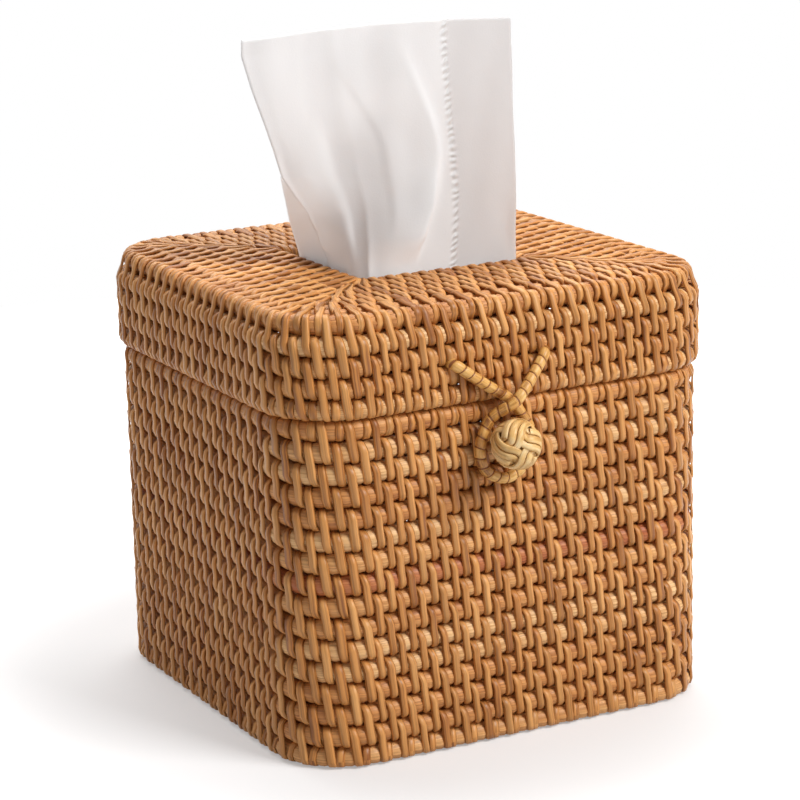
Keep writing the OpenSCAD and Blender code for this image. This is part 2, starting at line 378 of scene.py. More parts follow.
def closed_tube(bm, steps, sides, tone, point_at, uv_size):
    """A grid rolled into a closed tube: point_at gives the place for each step along and round it."""
    tones = bm.verts.layers.float.get("tone") or bm.verts.layers.float.new("tone")
    uv = bm.loops.layers.uv.get("along_and_across") or bm.loops.layers.uv.new("along_and_across")
    made = bmesh.ops.create_grid(bm, x_segments=steps, y_segments=sides, size=0.5, calc_uvs=False)
    grid = made["verts"]
    faces = {face for vert in grid for face in vert.link_faces}
    for face in faces:
        for loop in face.loops:
            loop[uv].uv = ((loop.vert.co.x + 0.5) * uv_size[0], (loop.vert.co.y + 0.5) * uv_size[1])
    for vert in grid:
        step = round((vert.co.x + 0.5) * steps)
        side = round((vert.co.y + 0.5) * sides)
        vert[tones] = tone(step, side) if callable(tone) else tone
        vert.co = point_at(step, side)


def pressed(z):
    """A height in the weave once it has stood on its foot, which presses its underside flat."""
    return z if z > PRESSED_BELOW else PRESSED_BELOW + (z - PRESSED_BELOW) * PRESSED_SHARE


def core_rod(name, node, rod, body, material, stitches, bare_from, tone, swell=ROD_SWELL):
    """One core rod, swelling a little wherever no strip holds it in."""
    steps = max(ROD_FEWEST_STEPS, stitches * ROD_STEPS_A_STITCH)
    girth = length_round(rod)

    def point_at(step, side):
        along = girth * (step % steps) / steps
        middle, out = place_on(rod, along)
        wave = math.cos(2 * math.pi * (along - bare_from) * stitches / girth)
        r = rod["r"] - ROD_PINCH + swell * max(0.0, wave) ** ROD_SWELL_POWER
        turn = 2 * math.pi * (side % ROD_SIDES) / ROD_SIDES
        flat = middle + out * (r * math.cos(turn))
        return Vector((flat.x, flat.y, pressed(rod["z"] + r * math.sin(turn))))

    bm = bmesh.new()
    closed_tube(bm, steps, ROD_SIDES, tone, point_at, (girth * ROD_FIBRES_A_METRE, 1.0))
    bmesh.ops.remove_doubles(bm, verts=bm.verts, dist=ROD_SEAM)
    finish_piece(bm, name, material, body, [node])


honey_rod = fibre_colours("honey_core_rod",
                          (0.46, 0.16, 0.04), (0.68, 0.30, 0.09), (0.84, 0.46, 0.18))
pale_rod = fibre_colours("pale_core_rod",
                         (0.64, 0.30, 0.10), (0.84, 0.48, 0.20), (0.94, 0.63, 0.32))
red_rod = fibre_colours("reddish_core_rod",
                        (0.26, 0.05, 0.015), (0.46, 0.12, 0.035), (0.62, 0.25, 0.09))

case_wall = [rod_of("case_wall_row_01", corner=CASE_CORNER)]
for row in range(2, CASE_WALL_ROWS + 1):
    is_foot = row == CASE_WALL_ROWS
    case_wall.append(rod_of(f"case_wall_row_{row:02d}", wall=case_wall[0], worn_flat=is_foot))
case_floor = [rod_of(f"case_floor_row_{row:02d}", wall=case_wall[0])
              for row in range(1, CASE_FLOOR_ROWS + 1)]
lid_wall = [rod_of("lid_wall_row_05", corner=LID_CORNER)]
for row in range(LID_WALL_ROWS - 1, 0, -1):
    lid_wall.insert(0, rod_of(f"lid_wall_row_{row:02d}", wall=lid_wall[-1]))
lid_top = [rod_of(f"lid_top_row_{row:02d}", wall=lid_wall[-1])
           for row in range(1, LID_TOP_ROWS + 1)]

CASE_STITCHES = 72
LID_STITCHES = 87
WALL_ROW_SHIFT = 0.0036
CASE_BARE_AFTER = 0.0019
LID_BARE_AFTER = 0.0013
# Rods of the case, counted from the rim, that are redder or paler than the rest, and pale lid rods
CASE_RED_ROW = 8
CASE_PALE_ROWS = (2, 3, 6, 11, 12)
LID_PALE_ROWS = (2, 5)
FLOOR_FEWEST_STITCHES = 12
TOP_FEWEST_STITCHES = 24
case_pitch = length_round(case_wall[0]) / CASE_STITCHES
lid_pitch = length_round(lid_wall[-1]) / LID_STITCHES

rod_chance = random.Random(4)
for row, rod in enumerate(case_wall, 1):
    finish = red_rod if row == CASE_RED_ROW else pale_rod if row in CASE_PALE_ROWS else honey_rod
    core_rod(f"case_wall_rod_{row:02d}", f"case_wall_row_{row:02d}", rod, "case", finish,
             CASE_STITCHES,
             row * WALL_ROW_SHIFT + CASE_BARE_AFTER, rod_chance.random())
for row, rod in enumerate(case_floor, 1):
    stitches = max(FLOOR_FEWEST_STITCHES, round(length_round(rod) / case_pitch))
    core_rod(f"case_floor_rod_{row:02d}", f"case_floor_row_{row:02d}", rod, "case", honey_rod,
             stitches, 0.0, rod_chance.random())
for row, rod in enumerate(lid_wall, 1):
    core_rod(f"lid_wall_rod_{row:02d}", f"lid_wall_row_{row:02d}", rod, "lid",
             pale_rod if row in LID_PALE_ROWS else honey_rod, LID_STITCHES,
             row * WALL_ROW_SHIFT + LID_BARE_AFTER, rod_chance.random())
for row, rod in enumerate(lid_top, 1):
    stitches = max(TOP_FEWEST_STITCHES, round(length_round(rod) / lid_pitch))
    core_rod(f"lid_top_rod_{row:02d}", f"lid_top_row_{row:02d}", rod, "lid", honey_rod,
             stitches, 0.0, rod_chance.random(), swell=0.0)


# Binding strips: flat split cane about 2.6 mm wide. Each strip is belted round two rods and drawn
# tight, so that it sinks into the gap above the upper rod and the gap below the lower one.
STRIP_WIDTH = 0.0026
STRIP_THICK = 0.00085
STRIP_SINK = 0.00005
STRIP_NARROWEST = 0.90
STRIP_WIDEST = 1.08
STRIP_FIBRES = (2.0, 0.9)
STRIP_SEAM = 1e-7
WALL_LEAN = 0.0023
LEAN_UNEVEN_SHARE = 0.2
PLACE_UNEVEN = 0.00022
# Between its two rods a strip lies at this share of their radius
BETWEEN_SHARE = 0.93
# A strip's cross-section: places across it and out from the rod, as shares of width and thickness
STRIP_PROFILE = ((-0.50, 0.15), (-0.27, 0.95), (0.27, 0.95), (0.50, 0.15))
# Each station is the rod it lies on, its turn in degrees from the far side, how far down the
# strip it is, and its thickness and lift as shares of the strip's own
BELT = (
    ("upper", 0, 0.00, 0.45), ("upper", 32, 0.09, 0.75), ("upper", 60, 0.21, 0.95),
    ("upper", 88, 0.35, 1.0), ("between", 90, 0.50, 0.95), ("lower", 88, 0.65, 1.0),
    ("lower", 60, 0.79, 0.95), ("lower", 32, 0.91, 0.75), ("lower", 0, 1.00, 0.45),
    ("lower", -50, 0.86, 0.8), ("lower", -88, 0.66, 1.0), ("between", -90, 0.50, 0.9),
    ("upper", -88, 0.34, 1.0), ("upper", -50, 0.14, 0.8),
)
# A mitred corner left barer than this many pitches gets a strip of its own
CORNER_FILL_SHARE = 1.5
WRAP = tuple(("upper", turn, 0.5, 0.9 if turn in (90, 270) else 0.7) for turn in range(0, 360, 45))


def strip(bm, upper, lower, along, width, lean, tone, stations, guide):
    """One strip belted round two rods, or round one if both are the same."""
    sides = len(STRIP_PROFILE)

    def point_at(step, side):
        rod_name, turn, down, thick = stations[step % len(stations)]
        across, lift = STRIP_PROFILE[side % sides]
        lateral = along + lean * (down - 0.5) + across * width
        point, out = place_on(guide, lateral)
        up_flat = point if guide is upper else beside(upper, point)
        low_flat = point if guide is lower else beside(lower, point)
        fall = Vector(((low_flat - up_flat).dot(out), lower["z"] - upper["z"]))
        fall = Vector((0, -1)) if fall.length < 1e-6 else fall.normalized()
        face = Vector((-fall.y, fall.x))
        angle = math.radians(turn)
        if rod_name == "between":
            r = (upper["r"] + lower["r"]) / 2 * BETWEEN_SHARE
            flat, z = (up_flat + low_flat) / 2, (upper["z"] + lower["z"]) / 2
            away = face * math.copysign(1, turn)
        elif rod_name == "upper":
            r, flat, z = upper["r"], up_flat, upper["z"]
            away = face * math.sin(angle) - fall * math.cos(angle)
        else:
            r, flat, z = lower["r"], low_flat, lower["z"]
            away = face * math.sin(angle) + fall * math.cos(angle)
        r += STRIP_THICK * thick * lift - STRIP_SINK
        flat = flat + out * (away.x * r)
        return Vector((flat.x, flat.y, pressed(z + away.y * r)))

    closed_tube(bm, len(stations), sides, tone, point_at, STRIP_FIBRES)


def bind(name, upper, lower, body, material, places, seed,
         width=STRIP_WIDTH, lean=WALL_LEAN, stations=BELT, guide=None):
    """A whole row of strips that binds two neighbouring rods, laid by hand and so never quite even."""
    chance = random.Random(seed)
    guide = guide or (lower if length_round(lower) > length_round(upper) else upper)
    bm = bmesh.new()
    for along in places:
        _, out = place_on(guide, along)
        place = along + chance.uniform(-PLACE_UNEVEN, PLACE_UNEVEN)
        own_width = width * chance.uniform(STRIP_NARROWEST, STRIP_WIDEST)
        own_lean = lean(out) if callable(lean) else lean
        own_lean += WALL_LEAN * chance.uniform(-LEAN_UNEVEN_SHARE, LEAN_UNEVEN_SHARE)
        strip(bm, upper, lower, place, own_width, own_lean, chance.random(), stations, guide)
    bmesh.ops.remove_doubles(bm, verts=bm.verts, dist=STRIP_SEAM)
    finish_piece(bm, name, material, body)


def round_places(rod, count, first):
    """Evenly all the way round a rod."""
    return [first + length_round(rod) * number / count for number in range(count)]


def side_places(rod, pitch, first):
    """A pitch apart along each of a rod's four sides, starting afresh at every mitred corner."""
    quarter = length_round(rod) / 4
    places = []
    for side in range(4):
        low = math.ceil((-quarter / 2 - first) / pitch)
        high = math.floor((quarter / 2 - first) / pitch)
        places += [side * quarter + first + number * pitch for number in range(low, high + 1)]
        bare = quarter - (high - low) * pitch
        if bare > CORNER_FILL_SHARE * pitch:
            places.append(side * quarter + first + high * pitch + bare / 2)
    return places


binding_cane = fibre_colours("binding_cane",
                             (0.38, 0.125, 0.026), (0.62, 0.262, 0.066), (0.76, 0.375, 0.12),
                             fibres=6.5, roughness=0.40, fibre_depth=0.66)

# Case: the rim has short wraps between its long strips, and the binding runs on under the floor.
RIM_WRAP_BEFORE = 0.0031
CASE_WALL_SEED = 100
CASE_FLOOR_SEED = 200
bind("case_rim_wraps", case_wall[0], case_wall[0], "case", binding_cane,
     round_places(case_wall[0], CASE_STITCHES, WALL_ROW_SHIFT - RIM_WRAP_BEFORE),
     CASE_WALL_SEED, lean=0.0, stations=WRAP)
for row in range(1, CASE_WALL_ROWS):
    bind(f"case_wall_binding_{row:02d}", case_wall[row - 1], case_wall[row],
         "case", binding_cane,
         round_places(case_wall[0], CASE_STITCHES, row * WALL_ROW_SHIFT), CASE_WALL_SEED + row)
floor_chain = [case_wall[-1]] + case_floor[::-1]
for row in range(1, len(floor_chain)):
    first = (CASE_WALL_ROWS + row - 1) * WALL_ROW_SHIFT % case_pitch
    bind(f"case_floor_binding_{row:02d}", floor_chain[row - 1], floor_chain[row],
         "case", binding_cane,
         side_places(floor_chain[row - 1], case_pitch, first), CASE_FLOOR_SEED + row)

# Lid: the strips lie closer. On its top they lean along the sides and meet at mitred corners.
TOP_PITCH = 0.0059
TOP_ROW_SHIFT = 0.0029
TOP_STRIP_WIDTH = 0.0027
TOP_SIDE_LEAN = 0.0050
TOP_FRONT_LEAN = 0.0008
LAST_WRAP_AFTER = 0.0005
EDGE_STRIP_BEFORE = 0.0032
LID_WALL_SEED = 300
LID_RIM_SEED = 320
LID_TOP_SEED = 340
OPENING_SEED = 360


def top_lean(out):
    return TOP_FRONT_LEAN + (TOP_SIDE_LEAN - TOP_FRONT_LEAN) * abs(out.x)


lid_guide = lid_wall[1]
for row in range(1, LID_WALL_ROWS):
    bind(f"lid_wall_binding_{row:02d}", lid_wall[row - 1], lid_wall[row],
         "lid", binding_cane,
         round_places(lid_guide, LID_STITCHES, row * WALL_ROW_SHIFT), LID_WALL_SEED + row,
         guide=lid_guide)
bind("lid_rim_wraps", lid_wall[-1], lid_wall[-1], "lid", binding_cane,
     round_places(lid_wall[-1], LID_STITCHES, LID_WALL_ROWS * WALL_ROW_SHIFT - LAST_WRAP_AFTER),
     LID_RIM_SEED, lean=0.0, stations=WRAP)
bind("lid_edge_binding", lid_top[0], lid_wall[0], "lid", binding_cane,
     round_places(lid_guide, LID_STITCHES, WALL_ROW_SHIFT - EDGE_STRIP_BEFORE), LID_TOP_SEED,
     lean=TOP_FRONT_LEAN, guide=lid_guide)
for row in range(1, LID_TOP_ROWS):
    bind(f"lid_top_binding_{row:02d}", lid_top[row], lid_top[row - 1],
         "lid", binding_cane,
         side_places(lid_top[row - 1], TOP_PITCH, -row * TOP_ROW_SHIFT % TOP_PITCH),
         LID_TOP_SEED + row, width=TOP_STRIP_WIDTH, lean=top_lean)
bind("lid_opening_wraps", lid_top[-1], lid_top[-1], "lid", binding_cane,
     side_places(lid_top[-1], TOP_PITCH, -LID_TOP_ROWS * TOP_ROW_SHIFT % TOP_PITCH),
     OPENING_SEED, width=TOP_STRIP_WIDTH, lean=0.0, stations=WRAP)


# Floor start: the first floor rod is pared thin and doubled back on itself, and the first ring
# is sewn round it.
START_STEPS = 30
START_END_SHARE = 0.55
START_TONE = 0.5


def floor_start():
    low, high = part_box("case_floor_start")
    thick = (high.z - low.z) / 2
    leg = (high.y - low.y) / 2 - thick
    turn_x = high.x - leg - thick
    straight = turn_x - low.x
    bent = math.pi * leg
    span = 2 * straight + bent

    def point_at(step, side):
        far = span * step / START_STEPS
        if far < straight:
            middle = Vector((low.x + far, -leg, 0))
            ahead = Vector((1, 0, 0))
        elif far < straight + bent:
            turn = (far - straight) / leg - math.pi / 2
            middle = Vector((turn_x + leg * math.cos(turn), leg * math.sin(turn), 0))
            ahead = Vector((-math.sin(turn), math.cos(turn), 0))
        else:
            middle = Vector((turn_x - (far - straight - bent), leg, 0))
            ahead = Vector((-1, 0, 0))
        r = thick * (START_END_SHARE if step in (0, START_STEPS) else 1.0)
        turn = 2 * math.pi * (side % ROD_SIDES) / ROD_SIDES
        aside = ahead.cross(Vector((0, 0, 1)))
        height = (low.z + high.z) / 2 + r * math.sin(turn)
        return middle + aside * (r * math.cos(turn)) + Vector((0, 0, height))

    bm = bmesh.new()
    closed_tube(bm, START_STEPS, ROD_SIDES, START_TONE, point_at, (span * ROD_FIBRES_A_METRE, 1.0))
    bmesh.ops.remove_doubles(bm, verts=bm.verts, dist=ROD_SEAM)
    bmesh.ops.holes_fill(bm, edges=bm.edges, sides=ROD_SIDES)
    finish_piece(bm, "case_floor_start_rod", honey_rod, "case", ["case_floor_start"])


floor_start()


# Knot button: one length of pale flat cane, plaited three strips wide into a ball-shaped knot of
# four bights. Its tails pass through the wall of the case and are tied off inside.
KNOT_BIGHTS = 4
KNOT_LEADS = 3
KNOT_PLIES = 3
KNOT_STEPS = 160
KNOT_LOOK_AHEAD = 0.01
KNOT_FIBRES = 30.0
KNOT_TONES = (0.3, 0.9)
KNOT_TURN = math.radians(83)
KNOT_FACE = Vector((-0.30, -0.95, 0.07)).normalized()
HOLE_POLAR = math.radians(30)
FOOT_POLAR = math.radians(152)
OVER_UNDER = 0.00055
PLY_WIDTH = 0.0023
PLY_FILL_SHARE = 0.98
PLY_THICK = 0.00075
PLY_PROFILE = ((-0.50, 0.35), (-0.37, 1.0), (0.37, 1.0), (0.50, 0.35), (0.0, -0.20))
STEM_R = 0.0019
STEM_SIDES = 16
STEM_PAST_WALL = 0.002
knot_low, knot_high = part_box("knot_button")
knot_r = (knot_high.x - knot_low.x) / 2
knot_centre = Vector(((knot_low.x + knot_high.x) / 2, knot_low.y + knot_r,
                      (knot_low.z + knot_high.z) / 2))


def knot_line(t):
    """The plaited line on the ball at turn t: a way from the centre, and how far over it lies."""
    middle, swing = (HOLE_POLAR + FOOT_POLAR) / 2, (FOOT_POLAR - HOLE_POLAR) / 2
    polar = middle + swing * math.cos(KNOT_BIGHTS * t)
    round_it = KNOT_LEADS * t + KNOT_TURN
    side = KNOT_FACE.cross(Vector((0, 0, 1))).normalized()
    up = side.cross(KNOT_FACE)
    sideways = side * math.cos(round_it) + up * math.sin(round_it)
    return KNOT_FACE * math.cos(polar) + sideways * math.sin(polar), math.sin(2 * KNOT_BIGHTS * t)


def knot_button():
    straw = fibre_colours("straw_cane", (0.58, 0.27, 0.06), (0.86, 0.53, 0.19), (0.98, 0.76, 0.43),
                          fibres=6.0, roughness=0.36)
    bm = bmesh.new()
    chance = random.Random(7)
    inner_r = knot_r - PLY_THICK - OVER_UNDER
    for ply in range(KNOT_PLIES):
        offset = (ply - (KNOT_PLIES - 1) / 2) * PLY_WIDTH

        def point_at(step, side, offset=offset):
            t = 2 * math.pi * (step % KNOT_STEPS) / KNOT_STEPS
            way, height = knot_line(t)
            later, _ = knot_line(t + KNOT_LOOK_AHEAD)
            ahead = (later - way).normalized()
            across_way = way.cross(ahead).normalized()
            across, lift = PLY_PROFILE[side % len(PLY_PROFILE)]
            from_line = offset + across * PLY_WIDTH * PLY_FILL_SHARE
            shifted = (way * inner_r + across_way * from_line).normalized()
            return knot_centre + shifted * (inner_r + OVER_UNDER * height + PLY_THICK * lift)

        tone = chance.uniform(*KNOT_TONES)
        closed_tube(bm, KNOT_STEPS, len(PLY_PROFILE), tone, point_at, (KNOT_FIBRES, 1.0))
    bmesh.ops.remove_doubles(bm, verts=bm.verts, dist=STRIP_SEAM)
    finish_piece(bm, "knot_plait", straw, "case")
    bm = bmesh.new()
    bm.verts.layers.float.new("tone")
    bm.loops.layers.uv.new("along_and_across")
    core = bmesh.ops.create_icosphere(bm, subdivisions=3, radius=inner_r - OVER_UNDER)
    bmesh.ops.translate(bm, vec=knot_centre, verts=core["verts"])
    stem_len = knot_high.y - knot_centre.y + STEM_PAST_WALL
    stem = bmesh.ops.create_cone(bm, cap_ends=True, segments=STEM_SIDES,
                                 radius1=STEM_R, radius2=STEM_R, depth=stem_len)
    level = Matrix.Rotation(math.pi / 2, 3, "X")
    bmesh.ops.rotate(bm, cent=(0, 0, 0), matrix=level, verts=stem["verts"])
    bmesh.ops.translate(bm, vec=knot_centre + Vector((0, stem_len / 2, 0)), verts=stem["verts"])
    finish_piece(bm, "knot_core_and_stem", straw, "case", ["knot_button"])


knot_button()


# Closure loop: a cane core wrapped round and round with golden split cane. Both ends pass into
# the lid's side, and the loop crosses itself above the knot and lies behind it.
LOOP_WRAPS = 36
LOOP_SIDES = 14
LOOP_SAMPLES = 600
FIBRES_A_WRAP = 1.5
LOOP_SPREAD = 0.031
LOOP_DROP = 0.037
LOOP_D = 0.0035
LOOP_RISE_SHARE = 0.658
WRAP_TILT = 0.00045
WRAP_GROOVE = 0.00034
# Each wrap's rings: the place along the wrap, the depth as a share of the groove, and how far the
# tone is drawn towards the painted shade in the groove between wraps
WRAP_RING_SHARES = (
    (0.0, 1.0, 1.0), (0.07, 0.30, 0.08), (0.18, 0.05, 0.0),
    (0.5, 0.0, 0.0), (0.82, 0.05, 0.0), (0.93, 0.30, 0.08),
)
# Painted shade: the dark tone that stands in for the shade in the grooves between wraps
GROOVE_PAINTED_SHADE = -3.0
# The loop's route from end to end: across as a share of half its spread, down as a share of its
# drop, and out from the lid's face in its own diameters
LOOP_ROUTE = (
    (-1.03, -0.01, -0.7), (-0.99, 0.0, 0.3), (-0.62, 0.115, 0.6), (-0.2, 0.235, 0.6),
    (0.17, 0.34, 0.6),
    (0.42, 0.47, 0.5), (0.62, 0.6, 0.33), (0.68, 0.74, 0.3), (0.54, 0.9, 0.3),
    (0.12, 1, 0.3), (-0.3, 0.93, 0.3), (-0.48, 0.78, 0.32), (-0.44, 0.62, 0.5),
    (-0.26, 0.46, 0.8), (0.12, 0.335, 1.85), (0.5, 0.2, 1.35), (0.78, 0.09, 0.8), (0.99, 0.0, 0.3),
    (1.03, -0.01, -0.7),
)


def loop_middle(t):
    """A point on the smooth curve through the loop's route, t counting route points."""
    lid_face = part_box("lid_wall_row_04")[0].y
    anchor_z = knot_centre.z + LOOP_DROP * LOOP_RISE_SHARE
    last = len(LOOP_ROUTE) - 1
    i = min(int(t), last - 1)
    f = t - i
    a, b, c, d = (
        Vector((knot_centre.x + share[0] * LOOP_SPREAD / 2, lid_face - share[2] * LOOP_D,
                anchor_z - share[1] * LOOP_DROP))
        for share in (LOOP_ROUTE[max(i - 1, 0)], LOOP_ROUTE[i],
                      LOOP_ROUTE[i + 1], LOOP_ROUTE[min(i + 2, last)])
    )
    squared = 2 * a - 5 * b + 4 * c - d
    cubed = 3 * b - a - 3 * c + d
    return (2 * b + (c - a) * f + squared * f ** 2 + cubed * f ** 3) / 2


def closure_loop():
    golden = fibre_colours("golden_wrapping_cane",
                           (0.26, 0.08, 0.015), (0.72, 0.36, 0.085), (0.88, 0.56, 0.20),
                           fibres=14.0, roughness=0.36, bump=0.25, fibre_depth=0.85)
    rings = len(WRAP_RING_SHARES)
    steps = LOOP_WRAPS * rings
    last = len(LOOP_ROUTE) - 1
    samples = [loop_middle(last * number / LOOP_SAMPLES) for number in range(LOOP_SAMPLES + 1)]
    walked = [0.0]
    for before, after in zip(samples, samples[1:]):
        walked.append(walked[-1] + (after - before).length)

    def middle_at(share):
        goal = share * walked[-1]
        number = min(bisect.bisect_left(walked, goal), LOOP_SAMPLES)
        before = max(number - 1, 0)
        run = walked[number] - walked[before]
        return samples[before].lerp(samples[number], (goal - walked[before]) / run if run else 0)

    middles = [middle_at((step // rings + WRAP_RING_SHARES[step % rings][0]) / LOOP_WRAPS)
               for step in range(steps + 1)]
    chance = random.Random(11)
    wrap_tones = [chance.random() for _ in range(LOOP_WRAPS + 1)]

    def point_at(step, side):
        ahead = (middles[min(step + 1, steps)] - middles[max(step - 1, 0)]).normalized()
        aside = ahead.cross(Vector((0, 1, 0))).normalized()
        up = aside.cross(ahead)
        turn = 2 * math.pi * (side % LOOP_SIDES) / LOOP_SIDES
        r = LOOP_D / 2 - WRAP_GROOVE * WRAP_RING_SHARES[step % rings][1]
        tilt = ahead * (WRAP_TILT * math.cos(turn))
        return middles[step] + tilt + (aside * math.cos(turn) + up * math.sin(turn)) * r

    # Each wrap's own tone, darkened with painted shade in the grooves between wraps
    def wrap_tone_and_groove_shade(step, side):
        own = wrap_tones[step // rings]
        return own + (GROOVE_PAINTED_SHADE - own) * WRAP_RING_SHARES[step % rings][2]

    bm = bmesh.new()
    closed_tube(bm, steps, LOOP_SIDES, wrap_tone_and_groove_shade, point_at, (LOOP_WRAPS * FIBRES_A_WRAP, 1.0))
    bmesh.ops.remove_doubles(bm, verts=bm.verts, dist=STRIP_SEAM)
    bmesh.ops.holes_fill(bm, edges=bm.edges, sides=LOOP_SIDES)
    finish_piece(bm, "closure_loop_wrapped", golden, "lid", ["closure_loop"])


closure_loop()


# Hinge lashings: at the back, the lid's lowest rod and the case's rim rod are tied together in
# two places by turns of split cane laid side by side. On the real cover they bend as the lid turns;
# here they are drawn in one pose and ride on neither body.
LASHING_TURNS = 4
LASHING_STAND_OFF = 0.0006
LASHING_TURN_SHARE = 0.94
LASHING_TONE = 0.3
LASHING_TONE_STEP = 0.15


def hinge_lashing(side_name):
    low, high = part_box(f"hinge_lashing_{side_name}")
    girth = length_round(lid_wall[-1])
    turn_width = (high.x - low.x) / LASHING_TURNS
    lid_rod = dict(lid_wall[-1], r=lid_wall[-1]["r"] + LASHING_STAND_OFF)
    rim_rod = dict(case_wall[0], r=case_wall[0]["r"] + LASHING_STAND_OFF)
    bm = bmesh.new()
    for number in range(LASHING_TURNS):
        x = low.x + turn_width * (number + 0.5)
        strip(bm, lid_rod, rim_rod, (-x) % girth, turn_width * LASHING_TURN_SHARE, 0.0,
              LASHING_TONE + LASHING_TONE_STEP * number, BELT, lid_wall[-1])
    bmesh.ops.remove_doubles(bm, verts=bm.verts, dist=STRIP_SEAM)
    piece = finish_piece(bm, f"hinge_lashing_{side_name}_turns", binding_cane, None,
                         [f"hinge_lashing_{side_name}"])
    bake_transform(piece)


hinge_lashing("left")
hinge_lashing("right")


# Tissue: one folded sheet of soft white two-ply paper drawn up through the opening. Its front leaf
# fills the front of the opening, its rear leaf shows low down behind the front leaf's left edge,
# and a dotted seam down the right-hand part bonds the plies.
FRONT_COLUMNS = 110
FRONT_LEVELS = 90
REAR_COLUMNS = 14
REAR_LEVELS = 40
TISSUE_THICK = 0.00030
LEAF_OVERLAP = 0.0007
FOOT_CLEAR = 0.0010
lid_top_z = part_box("lid_top_row_01")[1].z
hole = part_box("lid_top_row_06")[1].x - 2 * lid_top[-1]["r"]
foot = hole - FOOT_CLEAR

# Edges of the leaves, each place as seen from the front: across, forward and height over the lid
FRONT_LEAF_LEFT = (
    (-0.0271, 0.0038, -0.008), (-0.0276, 0.0038, 0.000), (-0.0303, 0.0041, 0.007),
    (-0.0333, 0.0045, 0.013), (-0.0352, 0.0048, 0.0175), (-0.0377, 0.0050, 0.0205),
    (-0.0414, 0.0056, 0.0255), (-0.0445, 0.0060, 0.0300), (-0.0470, 0.0065, 0.0385),
    (-0.0503, 0.0070, 0.0478), (-0.0542, 0.0075, 0.0586), (-0.0572, 0.0080, 0.0681),
    (-0.0569, 0.0080, 0.0732),
)
FRONT_LEAF_RIGHT = (
    (0.0270, 0.0268, -0.008), (0.0272, 0.0266, 0.000), (0.0303, 0.0220, 0.0248), (0.0322, 0.0170, 0.0546),
    (0.0338, 0.0138, 0.0744),
)
REAR_LEAF_LEFT = (
    (-0.0271, -0.0168, -0.008), (-0.0276, -0.0168, 0.000), (-0.0351, -0.0080, 0.0134),
    (-0.0392, -0.0020, 0.0214), (-0.0443, 0.0058, 0.0300),
)
# Soft folds of the front leaf: across at the foot, the middle and the head as shares of the leaf,
# from what share of its height to what, the widths to the left and right, and how far it stands out
FRONT_FOLDS = (
    (0.50, 0.635, 0.55, 0.00, 0.85, 0.26, 0.042, 0.0038),
    (0.535, 0.62, 0.68, 0.00, 0.34, 0.09, 0.018, 0.0024),
    (0.27, 0.25, 0.16, 0.00, 0.62, 0.05, 0.10, -0.0024),
    (0.42, 0.44, 0.30, 0.20, 0.80, 0.020, 0.07, 0.0010),
    (0.00, 0.00, 0.00, 0.00, 0.48, 0.02, 0.017, 0.0028),
    (0.10, 0.08, 0.10, 0.35, 1.00, 0.07, 0.07, 0.0014),
    (0.28, 0.17, 0.24, 0.62, 1.10, 0.04, 0.06, -0.0007),
    (0.36, 0.30, 0.33, 0.55, 1.10, 0.03, 0.03, 0.0004),
    (0.55, 0.42, 0.46, 0.60, 1.10, 0.09, 0.08, -0.0009),
    (0.97, 0.92, 0.95, 0.00, 0.20, 0.05, 0.05, -0.0012),
)
FOLD_STARTS_OVER = 0.14
FOLD_ENDS_OVER = 0.22
# The front leaf's foot rounds the opening's near left corner at this share of its width, softly,
# and the leaf lies nearly flat from this share of its height
FOOT_CORNER_SHARE = 0.32
CORNER_INSET = 0.0006
CORNER_SOFT_WIDTH = 0.09
CORNER_SOFT_SHARE = 0.16
FLAT_FROM_SHARE = 0.72
# Folds fade to this share at the leaf's left and right edges, over these shares of its width
EDGE_FOLD_SHARE = 0.35
LEFT_FADE_WIDTH = 0.06
RIGHT_FADE_WIDTH = 0.04
RIPPLE = 0.00028
EDGE_WAVE = 0.0005
EDGE_WAVE_WIDTH = 0.03
TOP_BOW = 0.0016


def on_edge(edge, level):
    """The place on a leaf's edge at this height over the lid."""
    for low, high in zip(edge, edge[1:]):
        if level <= high[2] or high is edge[-1]:
            share = (level - low[2]) / (high[2] - low[2])
            return Vector(low).lerp(Vector(high), share)


def smooth(share):
    share = min(1.0, max(0.0, share))
    return share * share * (3 - 2 * share)


def fold_stand(u, v):
    """How far the front leaf's folds stand forward here."""
    stand = 0.0
    for at_foot, at_middle, at_head, low, high, left, right, height in FRONT_FOLDS:
        middle = at_foot + (at_middle - at_foot) * smooth(2 * v) + (at_head - at_middle) * smooth(2 * v - 1)
        wide = left if u < middle else right
        fade = smooth((v - low) / FOLD_STARTS_OVER + 0.5) * smooth((high - v) / FOLD_ENDS_OVER + 0.5)
        stand += height * fade * math.exp(-((u - middle) / wide) ** 2)
    return stand


